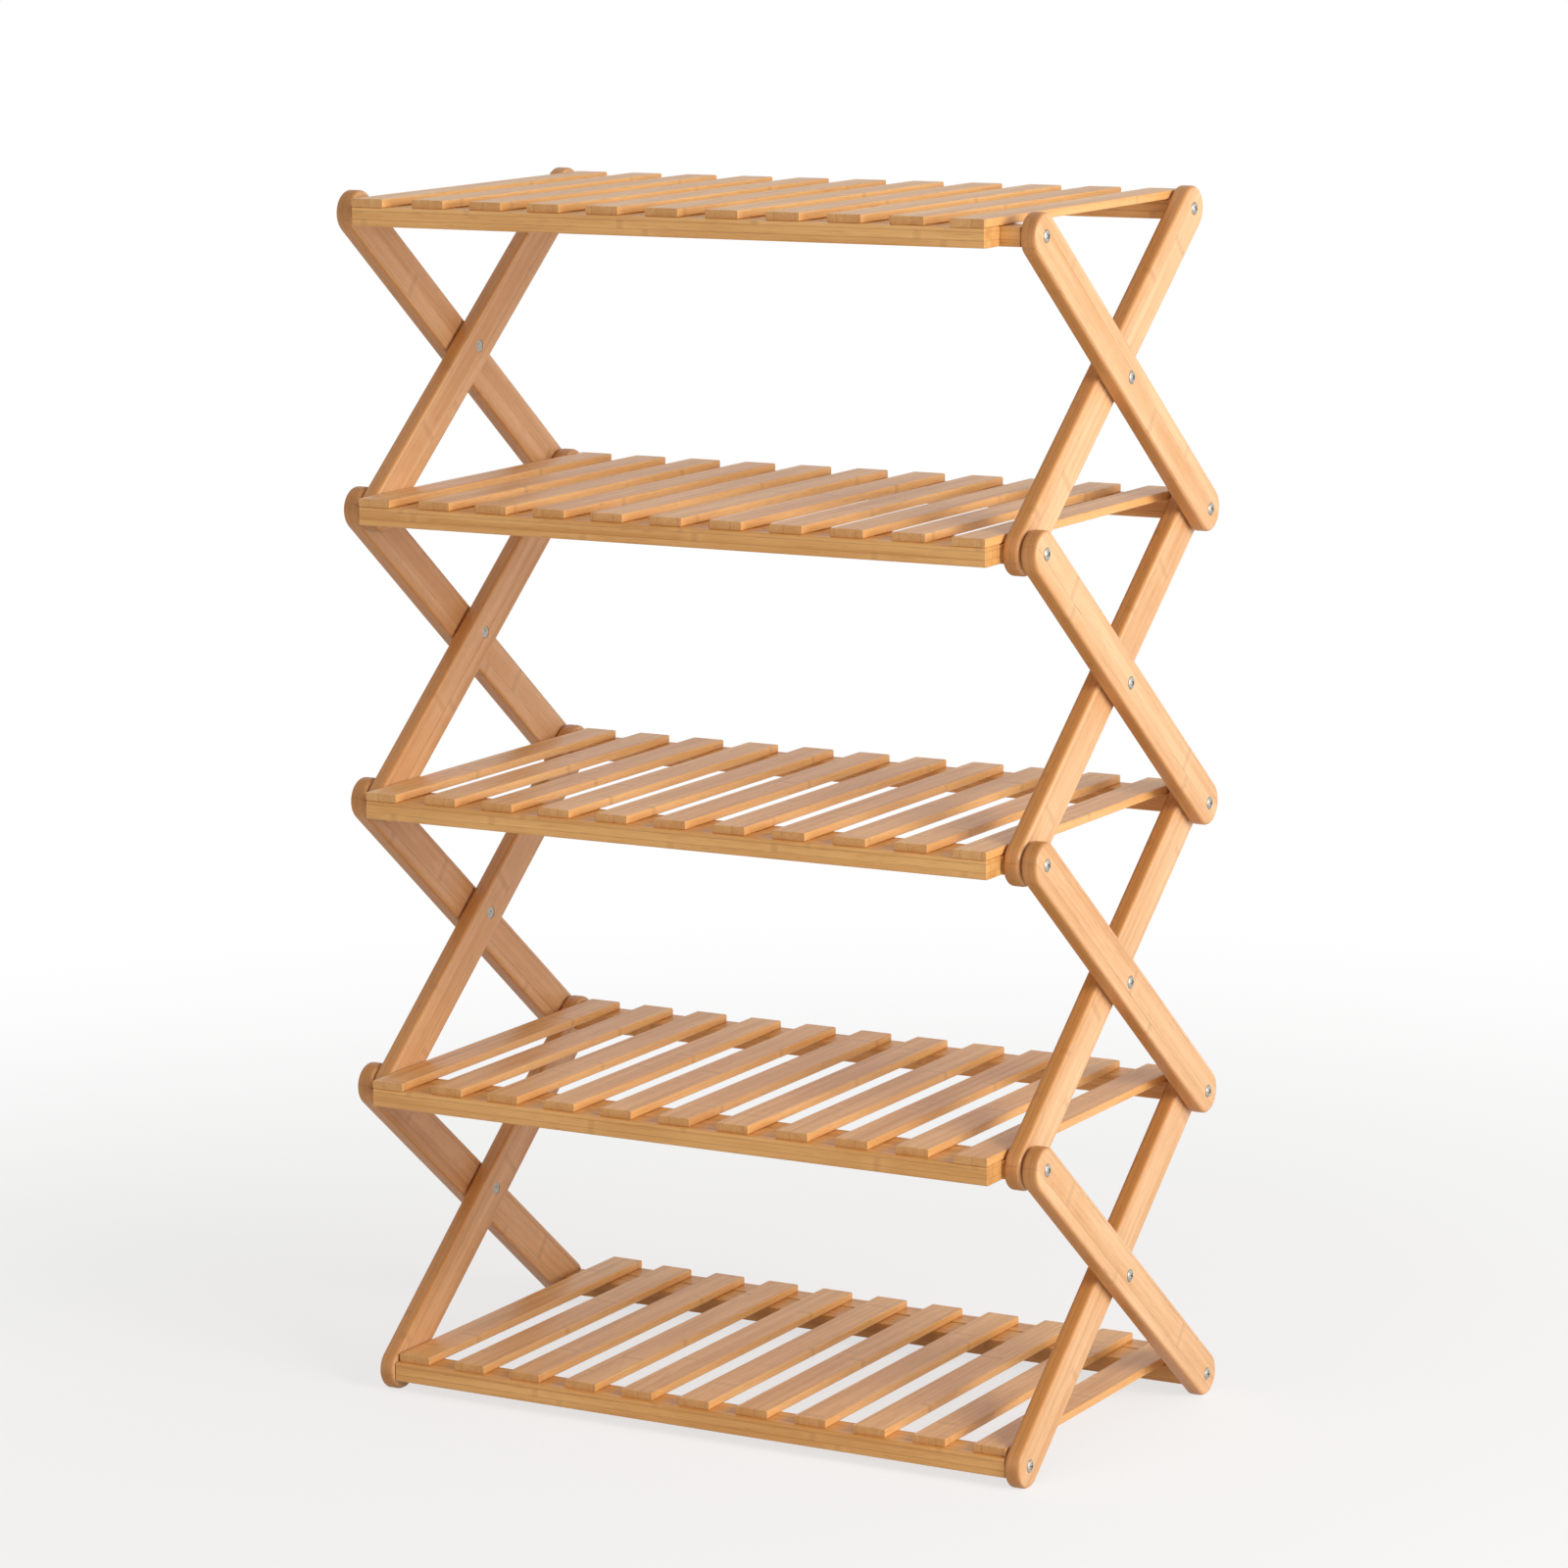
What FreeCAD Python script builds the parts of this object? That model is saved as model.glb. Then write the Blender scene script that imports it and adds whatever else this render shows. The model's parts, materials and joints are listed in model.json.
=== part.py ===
# Folding shoe rack: five slatted shelves carried by a scissor frame on each side.
#
# Frame: millimetres, +Z up, -Y the front, +X the right-hand side.
# The origin lies on the floor, midway between the feet.
# Tier 1 is the lowest shelf.  Level 1 is the pair of crossed legs between tiers 1 and 2.

import FreeCAD, Part
import math
import os

# ---- overall sizes ------------------------------------------------------------------

TIER_COUNT = 5
OVERALL_WIDTH = 556.0       # across the outer faces of the outer legs
PIVOT_DEPTH = 258.0         # from the front pivots to the back pivots, rack open
TIER_SPACING = 212.0        # from one tier's pivots to the next, rack open

# ---- legs ---------------------------------------------------------------------------

LEG_WIDTH = 32.0
LEG_THICKNESS = 12.5
LEG_EDGE_RADIUS = 3.0
FOOT_FLAT = 1.0             # taken off the round end that stands on the floor

# ---- bars and slats -----------------------------------------------------------------

BAR_DEPTH = 27.0
BAR_HEIGHT = 14.0
BAR_EDGE_RADIUS = 1.5
BATTEN_DEPTH = 22.0
BATTEN_HEIGHT = 13.5
SLAT_COUNT = 11
SLAT_WIDTH = 26.0
SLAT_THICKNESS = 6.0
SLAT_EDGE_RADIUS = 1.0
SLAT_INSET = 4.5            # slat ends kept back from the face of the bar they lie on

# ---- fasteners ----------------------------------------------------------------------

SHANK_RADIUS = 2.5
HEAD_RADIUS = 4.75
HEAD_HEIGHT = 1.6
RECESS_LENGTH = 5.0
RECESS_WIDTH = 1.0
RECESS_DEPTH = 1.0
SCREW_BITE = 30.0           # length of screw held in the end of a bar
SCREW_POINT = 4.0
RIVET_HEAD_RADIUS = 4.5
RIVET_HEAD_HEIGHT = 1.5     # inner head, sunk into the inner leg
WASHER_RADIUS = 8.0
WASHER_THICKNESS = 1.0
NAIL_RADIUS = 0.8
NAIL_HEAD_RADIUS = 1.6
NAIL_HEAD_HEIGHT = 0.6
NAIL_BITE = 3.5             # length of nail held in a slat
NAIL_OFFSET = 7.0           # nail line to bar centre, clear of the screws in the bar's ends

# ---- clearances ---------------------------------------------------------------------

RUNNING_CLEARANCE = 0.08    # radial, round every shank
NAIL_CLEARANCE = 0.03       # radial, round every nail
LAYER_CLEARANCE = 0.3       # washer to inner leg
BAR_END_CLEARANCE = 0.5     # bar end to leg
SHELF_SIDE_CLEARANCE = 1.5  # end slat to inner leg
SEAT_CLEARANCE = 0.3        # slats to the bar they only rest on
HOOK_CLEARANCE = 0.5        # batten to the bar it hooks over
BORE_END_CLEARANCE = 1.0    # bottom of a blind bore to the screw's point
RIVET_SINK_CLEARANCE = 0.2  # inner rivet head below the face of the leg
CUT_OVERRUN = 1.0           # how far a cutting tool runs past the face it opens

# ---- positions that follow from the sizes --------------------------------------------

LEVEL_COUNT = TIER_COUNT - 1
LEG_RADIUS = LEG_WIDTH / 2
PIVOT_HEIGHT = LEG_RADIUS - FOOT_FLAT
OUTER_LEG_OUT = OVERALL_WIDTH / 2
OUTER_LEG_IN = OUTER_LEG_OUT - LEG_THICKNESS
INNER_LEG_OUT = OUTER_LEG_IN - WASHER_THICKNESS - LAYER_CLEARANCE
INNER_LEG_IN = INNER_LEG_OUT - LEG_THICKNESS
SHELF_HALF_WIDTH = INNER_LEG_IN - SHELF_SIDE_CLEARANCE
SLAT_PITCH = (2 * SHELF_HALF_WIDTH - SLAT_WIDTH) / (SLAT_COUNT - 1)
SHANK_BORE = SHANK_RADIUS + RUNNING_CLEARANCE

RIGHT = 1
LEFT = -1
SIDES = {"left": LEFT, "right": RIGHT}
FRONT = -1
BACK = 1
ENDS = {"front": FRONT, "back": BACK}
X_AXIS = FreeCAD.Vector(1, 0, 0)
Z_AXIS = FreeCAD.Vector(0, 0, 1)


def pivot_y(end):
    return end * PIVOT_DEPTH / 2


def pivot_z(tier):
    return PIVOT_HEIGHT + (tier - 1) * TIER_SPACING


def level_centre_z(level):
    return (pivot_z(level) + pivot_z(level + 1)) / 2


def slat_x(index):
    return -SHELF_HALF_WIDTH + SLAT_WIDTH / 2 + index * SLAT_PITCH


def outer_leg_reaches(tier, end):
    """True where an outer leg ends: they run from each back pivot up to the next front one."""
    return tier > 1 if end == FRONT else tier < TIER_COUNT


def inner_leg_reaches(tier, end):
    """True where an inner leg ends: they run from each front pivot up to the next back one."""
    return tier < TIER_COUNT if end == FRONT else tier > 1


def shelf_end(tier):
    """The end whose bar carries the slats; the lowest shelf is the same panel turned round."""
    return FRONT if tier == 1 else BACK


# ---- small building blocks ------------------------------------------------------------

def box(x_range, y_range, z_range):
    low = FreeCAD.Vector(min(x_range), min(y_range), min(z_range))
    high = FreeCAD.Vector(max(x_range), max(y_range), max(z_range))
    size = high - low
    return Part.makeBox(size.x, size.y, size.z, low)


def rod_x(x_range, y, z, radius):
    start = FreeCAD.Vector(min(x_range), y, z)
    return Part.makeCylinder(radius, abs(x_range[1] - x_range[0]), start, X_AXIS)


def rod_z(x, y, z_range, radius):
    start = FreeCAD.Vector(x, y, min(z_range))
    return Part.makeCylinder(radius, abs(z_range[1] - z_range[0]), start, Z_AXIS)


def rounded_along(shape, axis, radius):
    """Round every straight edge that runs along the axis."""
    edges = [edge for edge in shape.Edges
             if abs(edge.tangentAt(edge.FirstParameter).dot(axis)) > math.cos(math.radians(1))]
    return shape.makeFillet(radius, edges)


def mirrored(shape, side):
    """The shape as built on the right, or its mirror image on the left."""
    if side == RIGHT:
        return shape
    return shape.mirror(FreeCAD.Vector(0, 0, 0), X_AXIS)


def without(shape, tools):
    for tool in tools:
        shape = shape.cut(tool)
    return shape


def export(name, solids):
    shape = Part.makeCompound(solids) if len(solids) > 1 else solids[0]
    shape.exportStep(os.path.join("parts", name + ".step"))


# ---- legs ---------------------------------------------------------------------------

def leg_blank(lower, upper, x_range):
    """A flat strip with round ends, centred on two pivots and rounded along its edges."""
    along = (upper - lower).normalize()
    across = along.cross(X_AXIS) * LEG_RADIUS
    beyond = along * LEG_RADIUS
    outline = Part.Wire([
        Part.LineSegment(lower + across, upper + across).toShape(),
        Part.Arc(upper + across, upper + beyond, upper - across).toShape(),
        Part.LineSegment(upper - across, lower - across).toShape(),
        Part.Arc(lower - across, lower - beyond, lower + across).toShape(),
    ])
    blank = Part.Face(outline).extrude(X_AXIS * (max(x_range) - min(x_range)))
    blank.translate(X_AXIS * min(x_range))
    rims = [edge for edge in blank.Edges if edge.BoundBox.XLength < LEG_EDGE_RADIUS]
    return blank.makeFillet(LEG_EDGE_RADIUS, rims)


def stood_on_floor(leg):
    below = box((0, OVERALL_WIDTH), (-PIVOT_DEPTH, PIVOT_DEPTH), (-LEG_WIDTH, 0))
    return leg.cut(below)


def leg_pivots(level, lower_end):
    lower = FreeCAD.Vector(0, pivot_y(lower_end), pivot_z(level))
    upper = FreeCAD.Vector(0, pivot_y(-lower_end), pivot_z(level + 1))
    return lower, upper


def drilled_leg(level, lower_end, x_range):
    """A leg of the right-hand side with its two end bores and its middle bore."""
    lower, upper = leg_pivots(level, lower_end)
    leg = leg_blank(lower, upper, x_range)
    if level == 1:
        leg = stood_on_floor(leg)
    bore_range = (min(x_range) - CUT_OVERRUN, max(x_range) + CUT_OVERRUN)
    centres = (lower, upper, (lower + upper) * 0.5)
    return without(leg, [rod_x(bore_range, c.y, c.z, SHANK_BORE) for c in centres])


def outer_leg(level):
    return drilled_leg(level, BACK, (OUTER_LEG_IN, OUTER_LEG_OUT))


def inner_leg(level):
    """Like an outer leg, with a shallow sink for the inner head of the rivet."""
    leg = drilled_leg(level, FRONT, (INNER_LEG_IN, INNER_LEG_OUT))
    sink_floor = INNER_LEG_IN + RIVET_SINK_CLEARANCE + RIVET_HEAD_HEIGHT
    sink = rod_x((INNER_LEG_IN - CUT_OVERRUN, sink_floor), 0, level_centre_z(level),
                 RIVET_HEAD_RADIUS + RUNNING_CLEARANCE)
    return leg.cut(sink)


# ---- bars and shelves ---------------------------------------------------------------

def bar_half_length(tier, end):
    """A bar runs between the inner legs, or the outer ones where no inner leg ends."""
    leg_face = INNER_LEG_IN if inner_leg_reaches(tier, end) else OUTER_LEG_IN
    return leg_face - BAR_END_CLEARANCE


def screw_bores(tier, end):
    length = SCREW_BITE + BORE_END_CLEARANCE
    tip = bar_half_length(tier, end)
    return [rod_x((side * (tip - length), side * (tip + CUT_OVERRUN)), pivot_y(end),
                  pivot_z(tier), SHANK_BORE) for side in SIDES.values()]


def crossbar(tier, end):
    """A carrying bar touches its slats; a resting bar is lower by the seat clearance."""
    carries = end == shelf_end(tier)
    half_height = BAR_HEIGHT / 2 - (0 if carries else SEAT_CLEARANCE)
    half_length = bar_half_length(tier, end)
    blank = box((-half_length, half_length),
                (pivot_y(end) - BAR_DEPTH / 2, pivot_y(end) + BAR_DEPTH / 2),
                (pivot_z(tier) - half_height, pivot_z(tier) + half_height))
    bar = without(rounded_along(blank, X_AXIS, BAR_EDGE_RADIUS), screw_bores(tier, end))
    if carries:
        bar = without(bar, nail_bores(bar_nail_y(tier), bar_underside(tier)))
    return bar


def slat_underside(tier):
    return pivot_z(tier) + BAR_HEIGHT / 2


def bar_underside(tier):
    return pivot_z(tier) - BAR_HEIGHT / 2


def batten_underside(tier):
    return slat_underside(tier) - BATTEN_HEIGHT


def batten_faces(tier):
    """Inner and outer face of the batten, just beyond the bar it hooks over."""
    hook_end = -shelf_end(tier)
    inner = pivot_y(hook_end) + hook_end * (BAR_DEPTH / 2 + HOOK_CLEARANCE)
    return inner, inner + hook_end * BATTEN_DEPTH


def batten_nail_y(tier):
    return sum(batten_faces(tier)) / 2


def bar_nail_y(tier):
    return pivot_y(shelf_end(tier)) - shelf_end(tier) * NAIL_OFFSET


def batten(tier):
    blank = box((-SHELF_HALF_WIDTH, SHELF_HALF_WIDTH), batten_faces(tier),
                (batten_underside(tier), slat_underside(tier)))
    bar = rounded_along(blank, X_AXIS, BAR_EDGE_RADIUS)
    return without(bar, nail_bores(batten_nail_y(tier), batten_underside(tier)))


def slat(tier, index):
    """One slat with blind nail holes; only the end slats reach the batten's outer face."""
    carried = shelf_end(tier)
    start = pivot_y(carried) + carried * (BAR_DEPTH / 2 - SLAT_INSET)
    finish = batten_faces(tier)[1]
    if 0 < index < SLAT_COUNT - 1:
        finish += carried * SLAT_INSET
    x = slat_x(index)
    low = slat_underside(tier)
    blank = box((x - SLAT_WIDTH / 2, x + SLAT_WIDTH / 2), (start, finish),
                (low, low + SLAT_THICKNESS))
    strip = rounded_along(blank, FreeCAD.Vector(0, 1, 0), SLAT_EDGE_RADIUS)
    holes = [rod_z(x, y, (low - CUT_OVERRUN, low + NAIL_BITE + NAIL_CLEARANCE),
                   NAIL_RADIUS + NAIL_CLEARANCE)
             for y in (bar_nail_y(tier), batten_nail_y(tier))]
    return without(strip, holes)


# ---- fasteners ----------------------------------------------------------------------

def domed_head(x, y, z):
    """A low dome standing out along +X from the face at x, with a cross recess."""
    dome_radius = (HEAD_RADIUS ** 2 + HEAD_HEIGHT ** 2) / (2 * HEAD_HEIGHT)
    centre = FreeCAD.Vector(x + HEAD_HEIGHT - dome_radius, y, z)
    dome = Part.makeSphere(dome_radius, centre)
    head = dome.common(rod_x((x, x + HEAD_HEIGHT), y, z, HEAD_RADIUS + CUT_OVERRUN))
    depth_range = (x + HEAD_HEIGHT - RECESS_DEPTH, x + HEAD_HEIGHT + CUT_OVERRUN)
    long_way = (-RECESS_LENGTH / 2, RECESS_LENGTH / 2)
    short_way = (-RECESS_WIDTH / 2, RECESS_WIDTH / 2)
    for across, upright in ((long_way, short_way), (short_way, long_way)):
        slot = box(depth_range, (y + across[0], y + across[1]), (z + upright[0], z + upright[1]))
        head = head.cut(slot)
    return head


def bar_screw(tier, end):
    """The right-hand screw that runs through the legs into the end of a bar."""
    seat = OUTER_LEG_OUT if outer_leg_reaches(tier, end) else INNER_LEG_OUT
    tip = bar_half_length(tier, end) - SCREW_BITE
    y, z = pivot_y(end), pivot_z(tier)
    shank = rod_x((tip + SCREW_POINT, seat), y, z, SHANK_RADIUS)
    point = Part.makeCone(SHANK_RADIUS, 0, SCREW_POINT,
                          FreeCAD.Vector(tip + SCREW_POINT, y, z), -X_AXIS)
    return domed_head(seat, y, z).fuse([shank, point]).removeSplitter()


def crossing_rivet(level):
    """The right-hand rivet through the middle of a pair of crossed legs."""
    z = level_centre_z(level)
    head_face = INNER_LEG_IN + RIVET_SINK_CLEARANCE
    inner_head = rod_x((head_face, head_face + RIVET_HEAD_HEIGHT), 0, z, RIVET_HEAD_RADIUS)
    shank = rod_x((head_face, OUTER_LEG_OUT), 0, z, SHANK_RADIUS)
    return domed_head(OUTER_LEG_OUT, 0, z).fuse([shank, inner_head]).removeSplitter()


def washer(y, z):
    """A flat ring on the inner face of the right-hand outer leg."""
    x_range = (OUTER_LEG_IN - WASHER_THICKNESS, OUTER_LEG_IN)
    return rod_x(x_range, y, z, WASHER_RADIUS).cut(rod_x(x_range, y, z, SHANK_BORE))


def washer_places(level):
    """Where the outer legs of a level meet an inner leg: the crossing and the shared pivots."""
    places = [(0, level_centre_z(level))]
    if inner_leg_reaches(level, BACK):
        places.append((pivot_y(BACK), pivot_z(level)))
    if inner_leg_reaches(level + 1, FRONT):
        places.append((pivot_y(FRONT), pivot_z(level + 1)))
    return places


def nail_bores(y, underside):
    """Through holes for a row of nails, widened at the underside for their heads."""
    length = BAR_HEIGHT + CUT_OVERRUN
    bores = []
    for index in range(SLAT_COUNT):
        x = slat_x(index)
        shank = rod_z(x, y, (underside, underside + length), NAIL_RADIUS + NAIL_CLEARANCE)
        sink = rod_z(x, y, (underside - CUT_OVERRUN, underside + NAIL_HEAD_HEIGHT),
                     NAIL_HEAD_RADIUS + NAIL_CLEARANCE)
        bores += [shank, sink]
    return bores


def nail(x, y, underside, slat_face):
    """A nail driven upwards, its head level with the underside of its bar."""
    head = rod_z(x, y, (underside, underside + NAIL_HEAD_HEIGHT), NAIL_HEAD_RADIUS)
    shank = rod_z(x, y, (underside, slat_face + NAIL_BITE), NAIL_RADIUS)
    return head.fuse(shank).removeSplitter()


def shelf_nails(tier):
    rows = ((bar_nail_y(tier), bar_underside(tier)),
            (batten_nail_y(tier), batten_underside(tier)))
    return [nail(slat_x(index), y, underside, slat_underside(tier))
            for y, underside in rows for index in range(SLAT_COUNT)]


# ---- the whole rack -----------------------------------------------------------------

def on_both_sides(shape):
    return [mirrored(shape, side) for side in SIDES.values()]


def build_levels():
    for level in range(1, LEVEL_COUNT + 1):
        outer = outer_leg(level)
        inner = inner_leg(level)
        for side_name, side in SIDES.items():
            export(f"level_{level}_outer_leg_{side_name}", [mirrored(outer, side)])
            export(f"level_{level}_inner_leg_{side_name}", [mirrored(inner, side)])
        washers = [piece for y, z in washer_places(level) for piece in on_both_sides(washer(y, z))]
        export(f"level_{level}_washers", washers)
        export(f"level_{level}_crossing_rivets", on_both_sides(crossing_rivet(level)))


def build_tiers():
    for tier in range(1, TIER_COUNT + 1):
        for end_name, end in ENDS.items():
            export(f"tier_{tier}_{end_name}_bar", [crossbar(tier, end)])
            export(f"tier_{tier}_{end_name}_screws", on_both_sides(bar_screw(tier, end)))
        export(f"tier_{tier}_batten", [batten(tier)])
        export(f"tier_{tier}_slats", [slat(tier, index) for index in range(SLAT_COUNT)])
        export(f"tier_{tier}_nails", shelf_nails(tier))


os.makedirs("parts", exist_ok=True)
build_levels()
build_tiers()
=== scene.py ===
# %% [markdown]
# # A folding shoe rack in bamboo
# The rack has five slatted shelves carried by crossed legs. The frame file gives every part's
# place, and each part here is rebuilt around it with real roundings and a real finish, in metres.
# Building to the frame, rather than by eye, keeps each piece on the body that carries it when the
# rack folds.

# %% Load the frame
import json
import math
import bmesh
import bpy
from mathutils import Matrix, Vector


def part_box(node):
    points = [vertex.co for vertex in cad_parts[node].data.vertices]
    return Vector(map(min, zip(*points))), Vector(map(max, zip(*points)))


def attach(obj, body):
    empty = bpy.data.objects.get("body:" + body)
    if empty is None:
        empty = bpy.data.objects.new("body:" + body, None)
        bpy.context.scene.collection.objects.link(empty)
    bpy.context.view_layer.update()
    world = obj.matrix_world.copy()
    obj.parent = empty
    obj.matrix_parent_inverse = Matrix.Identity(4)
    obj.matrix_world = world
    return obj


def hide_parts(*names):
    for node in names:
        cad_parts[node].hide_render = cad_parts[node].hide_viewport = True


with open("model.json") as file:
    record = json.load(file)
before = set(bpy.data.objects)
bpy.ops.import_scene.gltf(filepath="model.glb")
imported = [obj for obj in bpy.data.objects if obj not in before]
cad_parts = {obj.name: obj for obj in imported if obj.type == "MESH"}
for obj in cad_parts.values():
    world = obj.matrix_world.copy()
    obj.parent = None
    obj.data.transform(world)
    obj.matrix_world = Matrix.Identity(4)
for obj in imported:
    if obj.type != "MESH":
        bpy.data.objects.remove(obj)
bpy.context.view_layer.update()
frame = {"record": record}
MM = 0.001
TIERS = range(1, 6)
LEVELS = range(1, 5)
SIDES = {"left": -1, "right": 1}
ENDS = ("front", "back")
BODY = {node: body for body, nodes in frame["record"]["behaviour"]["bodies"].items() for node in nodes}

# %% [markdown]
# Node trees are easier to read as Python expressions. `Value` wraps one output socket, and the
# usual operators on it add Math nodes. `Tree.add` makes any node, and `Tree.node` makes one and
# wraps its output. The same two classes serve shaders and Geometry Nodes.

# %% Node trees as expressions
class Value:
    """One output inside a node tree. Arithmetic on it adds Math nodes."""

    def __init__(self, tree, socket):
        self.tree = tree
        self.socket = socket

    def maths(self, operation, *others):
        return self.tree.maths(operation, self, *others)

    def __add__(self, other):
        return self.maths("ADD", other)

    def __sub__(self, other):
        return self.maths("SUBTRACT", other)

    def __mul__(self, other):
        return self.maths("MULTIPLY", other)

    def __rsub__(self, other):
        return self.tree.maths("SUBTRACT", other, self)

    def __lt__(self, other):
        return self.maths("LESS_THAN", other)

    def __gt__(self, other):
        return self.maths("GREATER_THAN", other)

    __radd__ = __add__
    __rmul__ = __mul__


class Tree:
    """A node tree and short ways to add to it."""

    def __init__(self, tree):
        self.tree = tree

    def add(self, kind, settings=None, inputs=None):
        """Make one node of any kind: its settings first, then its inputs' values or links."""
        made = self.tree.nodes.new(kind)
        for name, value in (settings or {}).items():
            setattr(made, name, value)
        for key, value in (inputs or {}).items():
            for each in value if isinstance(value, list) else [value]:
                self.feed(made.inputs[key], each)
        return made

    def node(self, kind, settings=None, inputs=None, output=0):
        return Value(self, self.add(kind, settings, inputs).outputs[output])

    def feed(self, socket, value):
        if isinstance(value, Value):
            self.tree.links.new(value.socket, socket)
        else:
            socket.default_value = value

    def maths(self, operation, *values):
        return self.node("ShaderNodeMath", {"operation": operation}, dict(enumerate(values)))

    def vector(self, operation, *values):
        return self.node("ShaderNodeVectorMath", {"operation": operation}, dict(enumerate(values)))

    def length(self, vector):
        return self.node("ShaderNodeVectorMath", {"operation": "LENGTH"}, {0: vector}, output=1)

    def xyz(self, x, y, z):
        return self.node("ShaderNodeCombineXYZ", None, {0: x, 1: y, 2: z})

    def split(self, vector):
        return [Value(self, out) for out in self.add("ShaderNodeSeparateXYZ", None, {0: vector}).outputs]


print("node helpers ready")

# %% [markdown]
# Slats, legs and screws repeat, so each kind is one Geometry Nodes tree with a named input for
# every size. `grow` sets those inputs by their identifiers, evaluates the object once and keeps
# the result as a plain mesh, so no modifier is left to slow down or change later work. Weighted
# normals make the flats look flat right up to their small roundings.

# %% Geometry Nodes trees with named inputs
KINDS = {"float": "NodeSocketFloat", "int": "NodeSocketInt", "vector": "NodeSocketVector",
         "object": "NodeSocketObject", "material": "NodeSocketMaterial"}


def geometry_tree(name, sizes):
    group = bpy.data.node_groups.new(name, "GeometryNodeTree")
    group.interface.new_socket("Geometry", in_out="INPUT", socket_type="NodeSocketGeometry")
    for label, kind in sizes.items():
        group.interface.new_socket(label, in_out="INPUT", socket_type=KINDS[kind])
    group.interface.new_socket("Geometry", in_out="OUTPUT", socket_type="NodeSocketGeometry")
    tree = Tree(group)
    return tree, {out.name: Value(tree, out) for out in tree.add("NodeGroupInput").outputs if out.name}


def finish_tree(tree, geometry, material):
    real = tree.node("GeometryNodeRealizeInstances", None, {0: geometry})
    done = tree.node("GeometryNodeSetMaterial", None, {"Geometry": real, "Material": material})
    tree.add("NodeGroupOutput", None, {0: done})
    return tree.tree


def store(tree, geometry, name, value, kind="FLOAT_VECTOR", domain="POINT"):
    return tree.node("GeometryNodeStoreNamedAttribute", {"data_type": kind, "domain": domain},
                     {"Geometry": geometry, "Name": name, "Value": value})


def recall(tree, name, kind="FLOAT_VECTOR"):
    return tree.node("GeometryNodeInputNamedAttribute", {"data_type": kind}, {"Name": name})


def random_vector(tree, inputs):
    return tree.node("FunctionNodeRandomValue", {"data_type": "FLOAT_VECTOR"},
                     {0: (0, 0, 0), 1: (1, 1, 1), **inputs})


def grow(name, group, sizes, points=None):
    """Run a tree once, on a base mesh of (place, facing) points where it needs them."""
    base = bpy.data.meshes.new(name + "_base")
    if points:
        base.from_pydata([place for place, facing in points], [], [])
        facings = base.attributes.new("facing", "FLOAT_VECTOR", "POINT")
        for item, (place, facing) in zip(facings.data, points):
            item.vector = facing
    grower = bpy.data.objects.new(name + "_grower", base)
    bpy.context.scene.collection.objects.link(grower)
    modifier = grower.modifiers.new("grow", "NODES")
    modifier.node_group = group
    for item in group.interface.items_tree:
        if item.in_out == "INPUT" and item.name in sizes:
            modifier[item.identifier] = sizes[item.name]
    weighted = grower.modifiers.new("flats", "WEIGHTED_NORMAL")
    weighted.keep_sharp = True
    bpy.context.view_layer.update()
    evaluated = grower.evaluated_get(bpy.context.evaluated_depsgraph_get())
    mesh = bpy.data.meshes.new_from_object(evaluated)
    mesh.name = name
    mesh.materials.clear()
    mesh.materials.append(sizes["Finish"])
    piece = bpy.data.objects.new(name, mesh)
    bpy.context.scene.collection.objects.link(piece)
    bpy.data.objects.remove(grower)
    return piece


def stand_for(piece, node):
    """The piece takes the node's place on its body."""
    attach(piece, BODY[node])
    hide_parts(node)


print("geometry helpers ready")

# %% [markdown]
# Every bamboo part is a board: an outline with round corners, pushed out to a thickness, with
# its rims rounded by sanding. A Bevel modifier could round a box, but not by a different amount
# on corners and rims. Here Curve to Mesh makes rings of points, and each ring is set to its own
# height and drawn in from the outline, which gives an exact rounding of any such shape.

# %% The rounded board that all bamboo parts share
MERGE_DISTANCE = 0.01 * MM


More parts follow.
